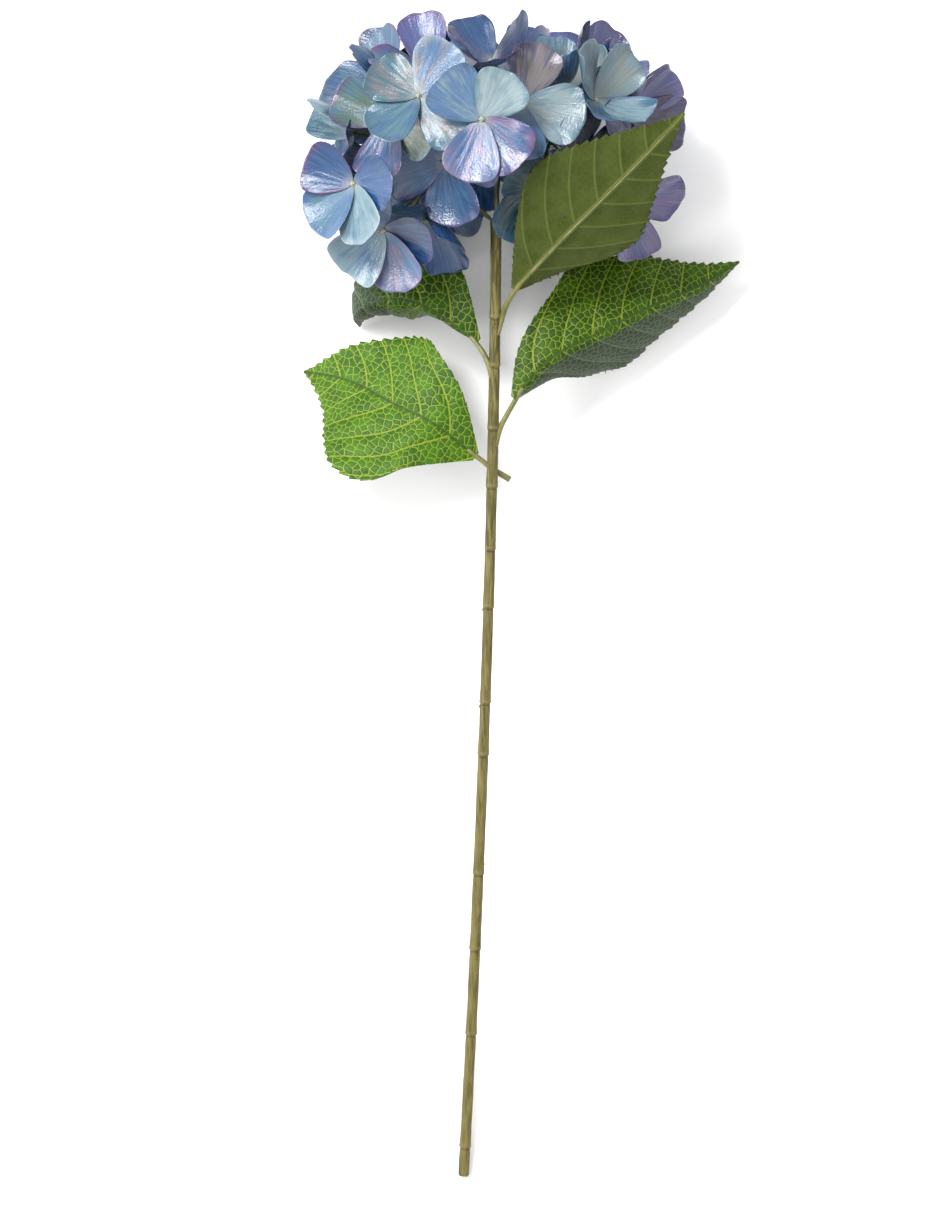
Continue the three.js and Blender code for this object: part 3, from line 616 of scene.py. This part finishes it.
def leaf_piece(name, leaf, seed):
    dice = np.random.default_rng(seed)
    upper = printed_and_shaded_leaf("printed_" + name, *PRINTS_AND_SHADES[name])
    blade, middle, face = leaf_blade(name + "_blade", leaf, dice, (upper, LEAF_BACK))
    root = stem_at(leaf["node"])
    # The stalk reaches into the bark and runs on under the midrib to the tip, ever thinner.
    stalk_points = [root + np.array(p) * MM for p in leaf["petiole"]]
    if len(stalk_points) < 3:
        aside = leaf["petiole"][0][0]
        stalk_points[0] = root + np.array((aside * ELBOW[0], *ELBOW[1:])) * MM
        stalk_points.insert(0, root + np.array((aside * HEEL[0], *HEEL[1:])) * MM)
    bare = smooth_line([*stalk_points, middle[MIDRIB_MEETS]], 0.5, True)
    tail = middle[RIB_ROWS]
    slimmer = np.linspace(RIB_START, RIB_END, len(tail))
    under = tail - face[RIB_ROWS] * (slimmer * PETIOLE_RADIUS + 0.1 * MM)[:, None]
    path = np.concatenate([even_shares(bare, np.linspace(0, 1, PETIOLE_STEPS)) - face[0] * 0.2 * MM, under])
    path[:, 2] = np.maximum(path[:, 2], LOWEST)
    girth = np.concatenate([np.linspace(1.15, 0.85, PETIOLE_STEPS), slimmer]) * PETIOLE_RADIUS
    rib = stalk(name + "_rib", path, girth, LEAF_STALK, STALK_SIDES, 0.25 * MM, (2 * MM,) * 3)
    piece = joined(name + "_cloth", [blade, rib])
    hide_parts(name)
    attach(piece, "root")


for number, (leaf_name, leaf_lines) in enumerate(LEAVES.items()):
    leaf_piece(leaf_name, leaf_lines, 20 + number)


# ------------------------------------------------------------------------------------------------
# Rays. Seven forked stalks of the same soft plastic, pushed on the stem's end, that carry the
# florets. Their routes are the frame's; here the joints are run together as a mould leaves them.

RAY_VOXEL = 0.5 * MM
RAY_FATTEN = 0.12 * MM
RAY_PLASTIC = stalk_plastic("ray_stalk_plastic", "#464b26", "#5b5e34", "#30361d")


def copy_merged(node):
    """A copy of a frame node's mesh with its loose triangles merged."""
    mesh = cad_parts[node].data.copy()
    piece = placed(node + "_copy", mesh)
    weld = piece.modifiers.new("weld", "WELD")
    weld.merge_threshold = 1e-6
    return settled(piece)


def ray_piece(node):
    piece = copy_merged(node)
    fatter = piece.modifiers.new("fatter", "DISPLACE")
    fatter.strength = RAY_FATTEN
    fatter.mid_level = 0
    fused = piece.modifiers.new("fused", "REMESH")
    fused.mode = "VOXEL"
    fused.voxel_size = RAY_VOXEL
    fused.use_smooth_shade = True
    soft = piece.modifiers.new("soft", "SMOOTH")
    soft.factor = 0.5
    soft.iterations = 5
    settled(piece)
    piece.name = node + "_stalk"
    piece.data.name = piece.name
    piece.data.materials.clear()
    piece.data.materials.append(RAY_PLASTIC)
    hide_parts(node)
    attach(piece, "root")


RAY_NODES = sorted(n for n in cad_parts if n.startswith("ray_"))
for ray_node in RAY_NODES:
    ray_piece(ray_node)


# ------------------------------------------------------------------------------------------------
# Florets. Each is four broad sepals of heat-pressed satin, dyed by hand in blues with aqua, mauve
# and violet edges, threaded on a short plastic stalk with a waxy bud in the middle. The stalk's
# foot plugs on a ray.

SEPAL_LENGTH = 35 * MM
SEPAL_HALF_WIDTH = 17 * MM
SEPAL_THICKNESS = 0.3 * MM
SEPAL_GRID = 33
SEPAL_GRID_REACH = 0.985  # the grid stops just inside its disc's rim, where its corners would fold
OUTLINE_FULLEST = 0.853  # the widest that the outline's formula gets, at a half-width of 1
SEPAL_POINTS = (0.035, 0.02, -0.02)  # the tip is drawn out or notched by a share of the length
SEPAL_GUTTERS = (0.2, 0.9, 2.0, 3.2)  # how far the two sides turn up, in millimetres
SEPAL_CREASE = 0.5 * MM  # how deep the middle crease is pressed
SEPAL_CREASE_WIDTH = 1.3 * MM
SEPAL_RIB = 0.09 * MM
SEPAL_SEAT = 0.3 * MM  # the sepals' place above the stalk's end
PEDICEL_LENGTH = 12 * MM
PEDICEL_FOOT_RADIUS = 0.6 * MM

DYES = {
    "steel": "#2c4c73",
    "sky": "#3c5d80",
    "blue": "#183e6a",
    "deep": "#0f2c55",
    # navy is partly a dark dye and partly painted shade, for sepals that lie deep among the others
    "navy": "#0b1c3e",
    "aqua": "#3f6372",
    "pale": "#637c87",
    "ice": "#829295",
    "teal": "#204956",
    "beige": "#6e6869",
    "cream": "#777b70",
    "lavender": "#464b7a",
    "lilac": "#5d547b",
    "violet": "#32265d",
    "plum": "#2e2440",
    "magenta": "#50265b",
    "pink": "#655873",
    "mauve": "#433f60",
    "leafy": "#4d6054",
}

# Main dye, streaks and margin of each floret's sepals: the one nearest its right, its top, its left
# and its bottom. One sepal's three words stand for all four. The other florets take MIXED_DYES in turn.
FLORET_DYES = {
    5: "steel pink magenta, ice pale aqua, sky pale steel, steel pink pink",
    6: "pale ice aqua, beige mauve mauve, sky aqua sky, steel aqua sky",
    7: "aqua beige steel, sky beige ice, aqua beige teal, aqua steel teal",
    8: "leafy cream aqua, teal aqua blue, aqua leafy magenta, steel pink magenta",
    9: "blue steel deep, steel blue magenta, sky aqua steel, pale aqua ice",
    10: "pale cream aqua, pale aqua sky, aqua beige sky, steel pale blue",
    11: "navy deep navy, blue steel deep, deep blue magenta, steel magenta magenta",
    12: "pale cream aqua, aqua beige pale, blue aqua steel, pale aqua blue",
    13: "deep steel violet, blue sky steel, pale sky ice, sky pink lilac",
    14: "steel lavender magenta, lavender steel magenta, steel mauve magenta, steel sky blue",
    15: "steel aqua mauve",
    16: "blue steel deep",
    17: "blue lavender violet, mauve blue violet, navy mauve plum, deep blue plum",
    18: "mauve plum mauve, lavender mauve lilac, mauve cream violet, deep violet plum",
    19: "steel sky lilac",
    20: "navy deep blue",
    21: "aqua teal steel",
    22: "deep blue steel, aqua ice pale, teal aqua sky, deep steel blue",
    23: "blue steel deep",
    24: "blue sky deep",
    25: "lilac lavender violet",
    26: "pale sky lilac",
}
MIXED_DYES = (
    "blue steel violet",
    "steel aqua lilac",
    "steel aqua pale",
    "deep blue plum",
    "lavender steel violet",
    "steel sky magenta",
)
CONTORT = 0.11  # each sepal's left edge rides over its neighbour by this share of its half-width


def dyed_satin():
    """Polyester satin dyed by hand and pressed hot: fine ribs fan out from the base, the dye runs
    along them in streaks, and the glazed cloth throws hard, wrinkled highlights."""
    glaze = {"Coat_Weight": 0.85, "Coat_Roughness": 0.07, "Coat_IOR": 1.62}
    made, tree, surface = material("dyed_pressed_satin", IOR=1.5, Specular_IOR_Level=0.1, **glaze)
    fan = add(tree, "ShaderNodeUVMap", uv_map="fan").outputs[0]
    turn, reach, _ = add(tree, "ShaderNodeSeparateXYZ", {0: fan}).outputs
    main, streak, edge, lot = (
        add(tree, "ShaderNodeAttribute", attribute_name=layer).outputs["Color"]
        for layer in ("main", "streak", "margin", "lot")
    )
    own, rim, _ = add(tree, "ShaderNodeSeparateColor", {0: lot}).outputs
    seed = add(tree, "ShaderNodeMath", {0: own, 1: 50.0}, operation="MULTIPLY").outputs[0]

    def fanned(turns, reaches, detail, distortion=0.0):
        """Noise in streaks: so many across a radian, and each so many millimetres long."""
        across = add(tree, "ShaderNodeMath", {0: turn, 1: turns}, operation="MULTIPLY").outputs[0]
        outward = add(tree, "ShaderNodeMath", {0: reach, 1: reaches}, operation="DIVIDE").outputs[0]
        where = add(tree, "ShaderNodeCombineXYZ", {0: across, 1: outward}).outputs[0]
        inputs = {"Vector": where, "W": seed, "Scale": 1.0, "Detail": detail, "Distortion": distortion}
        return add(tree, "ShaderNodeTexNoise", inputs, noise_dimensions="4D").outputs[0]

    wide = fanned(3.2, 14.0, 2.0, 0.4)
    fine = fanned(15.0, 11.0, 3.0)
    ribs = fanned(34.0, 22.0, 2.0)
    blurred = add(tree, "ShaderNodeMath", {0: wide, 1: 0.55}, operation="MULTIPLY").outputs[0]
    runs = {0: fine, 1: 0.45, 2: blurred}
    mixed = add(tree, "ShaderNodeMath", runs, operation="MULTIPLY_ADD").outputs[0]
    # Dye gathers at the margin in a band a few millimetres wide, in patches.
    patches = {0: wide, 1: 0.5, 2: rim}
    outer = add(tree, "ShaderNodeMath", patches, operation="MULTIPLY_ADD").outputs[0]
    layers = [
        (mixed, 0.44, 0.62, 0.9, streak),
        (outer, 0.95, 1.4, 0.85, edge),
        (reach, 8.0, 1.5, 0.5, linear("#7a8481")),
    ]
    body = painted(tree, main, layers)
    # Painted shade and painted highlight in fine lines along the ribs.
    body = painted(tree, body, [(ribs, 0.52, 0.7, 0.3, linear("#223869"))], "MULTIPLY")
    body = painted(tree, body, [(ribs, 0.44, 0.28, 0.16, linear("#99a3b0"))])
    tree.links.new(body, surface.inputs["Base Color"])
    across = add(tree, "ShaderNodeMath", {0: turn, 1: 20.0}, operation="MULTIPLY").outputs[0]
    stretched = add(tree, "ShaderNodeCombineXYZ", {0: across, 1: reach}).outputs[0]
    crinkle = {"Vector": stretched, "Scale": 0.9, "Detail": 3.0, "Roughness": 0.65}
    wrinkles = add(tree, "ShaderNodeTexNoise", crinkle).outputs[0]
    height = add(tree, "ShaderNodeMath", {0: ribs, 1: 0.5, 2: wrinkles}, operation="MULTIPLY_ADD").outputs[0]
    # The glaze crinkles more than the cloth under it.
    for layer, strength in (("Normal", 0.4), ("Coat Normal", 0.5)):
        bump = {"Height": height, "Strength": strength, "Distance": 0.0005}
        tree.links.new(add(tree, "ShaderNodeBump", bump).outputs[0], surface.inputs[layer])
    eased = {"Value": wide, "From Min": 0.35, "From Max": 0.65, "To Min": 0.3, "To Max": 0.5}
    dull = add(tree, "ShaderNodeMapRange", eased, interpolation_type="SMOOTHSTEP").outputs[0]
    tree.links.new(dull, surface.inputs["Roughness"])
    return made


def bud_tree():
    """Geometry Nodes: an unopened flower, four small lobes round a fifth."""
    tree = bpy.data.node_groups.new("bud_of_five_lobes", "GeometryNodeTree")
    sockets = {}
    for name, kind in (("Radius", "NodeSocketFloat"), ("Material", "NodeSocketMaterial")):
        sockets[name] = tree.interface.new_socket(name, in_out="INPUT", socket_type=kind).identifier
    tree.interface.new_socket("Bud", in_out="OUTPUT", socket_type="NodeSocketGeometry")
    given = add(tree, "NodeGroupInput").outputs
    ring_radius = add(tree, "ShaderNodeMath", {0: given["Radius"], 1: 0.5}, operation="MULTIPLY").outputs[0]
    ring = add(tree, "GeometryNodeMeshCircle", {"Vertices": 4, "Radius": ring_radius}).outputs[0]
    lobe_radius = add(tree, "ShaderNodeMath", {0: given["Radius"], 1: 0.58}, operation="MULTIPLY").outputs[0]
    ball = {"Segments": 12, "Rings": 8, "Radius": lobe_radius}
    lobe = add(tree, "GeometryNodeMeshUVSphere", ball).outputs[0]
    around = {"Points": ring, "Instance": lobe, "Scale": (1, 1, 1.25)}
    lobes = add(tree, "GeometryNodeInstanceOnPoints", around).outputs[0]
    top = add(tree, "ShaderNodeCombineXYZ", {2: ring_radius}).outputs[0]
    middle = add(tree, "GeometryNodeTransform", {"Geometry": lobe, "Translation": top}).outputs[0]
    both = add(tree, "GeometryNodeJoinGeometry")
    tree.links.new(lobes, both.inputs[0])
    tree.links.new(middle, both.inputs[0])
    smooth = add(tree, "GeometryNodeSetShadeSmooth", {"Geometry": both.outputs[0]}).outputs[0]
    real = add(tree, "GeometryNodeRealizeInstances", {"Geometry": smooth}).outputs[0]
    painted = {"Geometry": real, "Material": given["Material"]}
    add(tree, "NodeGroupOutput", {0: add(tree, "GeometryNodeSetMaterial", painted).outputs[0]})
    return tree, sockets


BUD_TREE, BUD_SOCKETS = bud_tree()
BUD_RADIUS = 1.5 * MM
BUD_LIFT = 0.8 * MM  # its middle above the stalk's end


def bud(name, middle, right, high, look, finish):
    piece = placed(name, bpy.data.meshes.new(name))
    grower = piece.modifiers.new("bud", "NODES")
    grower.node_group = BUD_TREE
    grower[BUD_SOCKETS["Radius"]] = BUD_RADIUS
    grower[BUD_SOCKETS["Material"]] = finish
    settled(piece)
    count = len(piece.data.vertices)
    own = np.empty(count * 3)
    piece.data.vertices.foreach_get("co", own)
    moved = own.reshape(-1, 3) @ np.array([right, high, look]) + middle + look * BUD_LIFT
    piece.data.vertices.foreach_set("co", moved.ravel())
    return piece


FOOT_SIDES = 6
FOOT_TOLERANCE = 0.05  # of its radius
TIP_SPREAD = 4  # degrees round a sepal's farthest corner that count as its tip
SEPAL_SPREAD = 40  # and that belong to the same sepal


def cupped_at(reach):
    """How much of its cup a sepal has at a distance from the floret's middle."""
    return 0.4 + 0.6 * reach / SEPAL_LENGTH


def floret_frame(node):
    """Reads a floret's foot, middle and axes, and each sepal's bearing, cup and length, from the
    frame's plain solid. Its foot is the only corner in the middle of a ring of six so small."""
    copy = copy_merged(node)
    corners = np.empty(len(copy.data.vertices) * 3)
    copy.data.vertices.foreach_get("co", corners)
    corners = corners.reshape(-1, 3)
    bpy.data.objects.remove(copy)
    for foot in corners:
        apart = np.linalg.norm(corners - foot, axis=1) / PEDICEL_FOOT_RADIUS
        others = apart > 0.01
        ring = corners[others & (apart < 1 + FOOT_TOLERANCE)]
        if len(ring) == FOOT_SIDES and np.min(apart[others]) > 1 - FOOT_TOLERANCE:
            break
    else:
        raise ValueError("no foot on " + node)
    look = np.linalg.svd(ring - foot)[2][2]
    look *= np.sign(look @ (corners.mean(0) - foot))
    middle = foot + look * PEDICEL_LENGTH
    high = unit(np.array([0, 1, 0]) - look[1] * look)
    right = np.cross(high, look)
    away = corners - middle
    reach = np.linalg.norm(away, axis=1)
    bearing = np.degrees(np.arctan2(away @ high, away @ right))
    left = reach > 0.7 * SEPAL_LENGTH
    sepals = []
    for _ in range(4):
        tip = np.argmax(np.where(left, reach, 0))
        apart = abs((bearing - bearing[tip] + 180) % 360 - 180)
        mean = away[left & (apart < TIP_SPREAD) & (reach > 0.97 * reach[tip])].mean(0)
        length = np.linalg.norm(mean)
        raised = math.degrees(math.asin((mean @ look) / length))
        turned = math.degrees(math.atan2(mean @ high, mean @ right)) % 360
        sepals.append((turned, raised / cupped_at(length), length))
        left &= apart > SEPAL_SPREAD
    sepals.sort()
    starts = range(4)
    off = [
        sum(abs((sepals[(k + s) % 4][0] - 90 * k + 180) % 360 - 180) for k in range(4)) for s in starts
    ]
    first = off.index(min(off))
    return foot, middle, right, high, look, sepals[first:] + sepals[:first]


def sepal(name, axes, shape, dyes, dice, finish):
    """One sepal: a broad rounded blade on a narrow base, cupped, creased and ruffled."""
    middle, right, high, look = axes
    bearing, cup, length = shape
    line = np.linspace(-SEPAL_GRID_REACH, SEPAL_GRID_REACH, SEPAL_GRID)
    p, q = np.meshgrid(line, line, indexing="ij")
    # The square grid is laid on a disc, and the disc is drawn out to the sepal's outline.
    dx, dy = p * np.sqrt(1 - q**2 / 2), q * np.sqrt(1 - p**2 / 2)
    rim = np.hypot(dx, dy)
    around = np.arctan2(dy, dx)
    share = (dx + 1) / 2
    broad = SEPAL_HALF_WIDTH * dice.uniform(0.9, 1.04) * (0.6 + 0.4 * length / SEPAL_LENGTH)
    x = share * length * 1.01
    x += length * dice.choice(SEPAL_POINTS) * np.exp(-((dy / 0.16) ** 2)) * np.clip(dx, 0, 1) ** 6
    y = dy * broad * (0.4 + 0.76 * share) / OUTLINE_FULLEST
    y += broad * dice.uniform(-0.1, 0.1) * share**2
    reach = np.hypot(x, y)
    turn = np.arctan2(y, x) + math.radians(bearing)
    rise = math.radians(cup) * cupped_at(reach)
    flat = reach * np.cos(rise)
    lift = reach * np.sin(rise)
    aside = y / broad
    grow = np.clip(share * 1.6, 0, 1)
    lift += CONTORT * y
    lift += dice.choice(SEPAL_GUTTERS) * MM * aside**2 * grow
    lift += dice.uniform(-2.4, 1.2) * MM * share**4
    waves = np.sin(5 * around + dice.uniform(0, 6)) + 0.6 * np.sin(9 * around + dice.uniform(0, 6))
    lift += dice.uniform(0.35, 0.8) * MM * waves * rim**5 * grow
    lift += dice.uniform(0.5, 1.1) * MM * np.sin(3 * around + dice.uniform(0, 6)) * rim**2 * grow
    crease = np.exp(-((y / SEPAL_CREASE_WIDTH) ** 2)) * np.clip(1.1 - share, 0, 1) * grow
    lift -= SEPAL_CREASE * crease
    ribs = np.cos(np.arctan2(y, x + 6 * MM) * 42) * np.clip(share * 3, 0, 1) * (1 - rim**4)
    lift += SEPAL_RIB * ribs
    points = (
        middle
        + (flat * np.cos(turn))[..., None] * right
        + (flat * np.sin(turn))[..., None] * high
        + (lift + SEPAL_SEAT)[..., None] * look
    )
    fan = np.stack([np.arctan2(y, x + 4 * MM), reach / MM], axis=-1)
    own = np.full_like(rim, dice.random())
    tinted = dice.uniform(0.88, 1.1)
    colours = {"lot": np.stack([own, rim, np.zeros_like(rim), np.ones_like(rim)], axis=-1)}
    for layer, dye in zip(("main", "streak", "margin"), dyes):
        shaded = np.array(linear(DYES[dye]))
        shaded[:3] = np.clip(shaded[:3] * tinted, 0, 1)
        colours[layer] = shaded
    thin = SEPAL_THICKNESS * (1 - 0.5 * np.clip((rim - 0.8) / 0.2, 0, 1))
    return shell(name, points, thin, {"fan": fan}, colours, (finish, finish))


def waxy_bud():
    """Moulded polyethylene bud, translucent and waxy, pale yellow-green."""
    glow = {"Subsurface_Weight": 0.2, "Subsurface_Scale": 0.001}
    made, tree, surface = material("waxy_bud_plastic", Roughness=0.4, IOR=1.5, **glow)
    place = add(tree, "ShaderNodeTexCoord").outputs["Object"]
    spots = add(tree, "ShaderNodeTexNoise", {"Vector": place, "Scale": 1 / 0.0015}).outputs[0]
    body = painted(tree, linear("#909274"), [(spots, 0.35, 0.65, 1, linear("#a7a895"))])
    tree.links.new(body, surface.inputs["Base Color"])
    return made


SATIN = dyed_satin()
BUD_WAX = waxy_bud()


def floret_piece(node):
    number = int(node.split("_")[1])
    dice = np.random.default_rng(100 + number)
    foot, middle, right, high, look, sepals = floret_frame(node)
    listed = FLORET_DYES.get(number, MIXED_DYES[number % len(MIXED_DYES)])
    dyes = [words.split() for words in listed.split(", ")]
    parts = [
        sepal(f"sepal_{k}", (middle, right, high, look), shape, dyes[k % len(dyes)], dice, SATIN)
        for k, shape in enumerate(sepals)
    ]
    # The stalk starts inside the ray's end and flares under the sepals.
    steps = np.array([-1.6, 0, 4, 8, 10.5, 11.6, 12.1])
    girth = np.array([0.75, 0.78, 0.8, 0.9, 1.1, 1.7, 1.5]) * MM
    line = [foot + look * step * MM for step in steps]
    parts.append(stalk("pedicel", line, girth, RAY_PLASTIC, STALK_SIDES, 0.12 * MM, (MM, MM, MM)))
    parts.append(bud("bud", middle, right, high, look, BUD_WAX))
    piece = joined(f"bloom_{number:02d}", parts)
    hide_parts(node)
    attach(piece, "root")


for floret_node in sorted(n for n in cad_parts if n.startswith("floret_")):
    floret_piece(floret_node)


# ------------------------------------------------------------------------------------------------
# The floor, the lights and the camera: matt white paper, a softbox at the upper left, a weaker
# one low at the left, a wide one from the right that fills the shadows, and a camera that looks
# straight down.


def paper_white():
    """Matt white paper, with the faintest unevenness."""
    made, tree, surface = material("matt_white_paper", Roughness=0.9)
    place = add(tree, "ShaderNodeTexCoord").outputs["Object"]
    cloud = add(tree, "ShaderNodeTexNoise", {"Vector": place, "Scale": 2.0}).outputs[0]
    body = painted(tree, linear("#f7f7f7"), [(cloud, 0.3, 0.7, 1, linear("#f4f4f4"))])
    tree.links.new(body, surface.inputs["Base Color"])
    return made


FLOOR_HALF = 3.0
FLOOR_CORNERS = ((-1, -1), (1, -1), (1, 1), (-1, 1))
paper = bpy.data.meshes.new("floor")
paper.from_pydata([(x * FLOOR_HALF, y * FLOOR_HALF, 0) for x, y in FLOOR_CORNERS], [], [(0, 1, 2, 3)])
paper.materials.append(paper_white())
floor = placed("floor", paper)


def softbox(name, place, target, size, power):
    """A square area light that faces a point."""
    light = bpy.data.lights.new(name, "AREA")
    light.size = size
    light.energy = power
    made = placed(name, light)
    made.location = place
    aim = (np.array(target) - np.array(place)).tolist()
    made.rotation_euler = Vector(aim).to_track_quat("-Z", "Y").to_euler()
    made.visible_camera = False  # it lights the flower but hides nothing of it in a side view


HEAD_MIDDLE = (0, 0.2, 0.08)
SOFTBOXES = (  # name, place, what it faces, width in metres and power in watts
    ("key_softbox", (-0.8, 0.95, 1.6), HEAD_MIDDLE, 0.6, 38),
    ("side_softbox", (-1.5, 0.3, 0.7), HEAD_MIDDLE, 0.6, 14),
    ("fill_softbox", (0.9, -0.5, 2.2), (0, 0, 0), 2.0, 9),
)
for lamp in SOFTBOXES:
    softbox(*lamp)

sky = bpy.data.worlds.new("studio")
sky.use_nodes = True
sky.node_tree.nodes["Background"].inputs["Color"].default_value = (1, 1, 1, 1)
sky.node_tree.nodes["Background"].inputs["Strength"].default_value = 1.0
bpy.context.scene.world = sky
bpy.context.scene.view_settings.view_transform = "Standard"

VIEW_HEIGHT = 0.672  # how much of the object's length the picture takes in, in metres
CAMERA_ABOVE = 2.8
SENSOR_WIDTH = 36
FOCUS_LEVEL = 0.06
VIEW_ASIDE = 3.6 * MM  # the picture's middle from the cut end, to the right and along the stem
VIEW_ALONG = 320.6 * MM
lens = bpy.data.cameras.new("camera")
lens.sensor_width = SENSOR_WIDTH
lens.lens = SENSOR_WIDTH * CAMERA_ABOVE / VIEW_HEIGHT
camera = placed("camera", lens)
camera.location = (cut_end[0] + VIEW_ASIDE, cut_end[1] + VIEW_ALONG, FOCUS_LEVEL + CAMERA_ABOVE)
bpy.context.scene.camera = camera
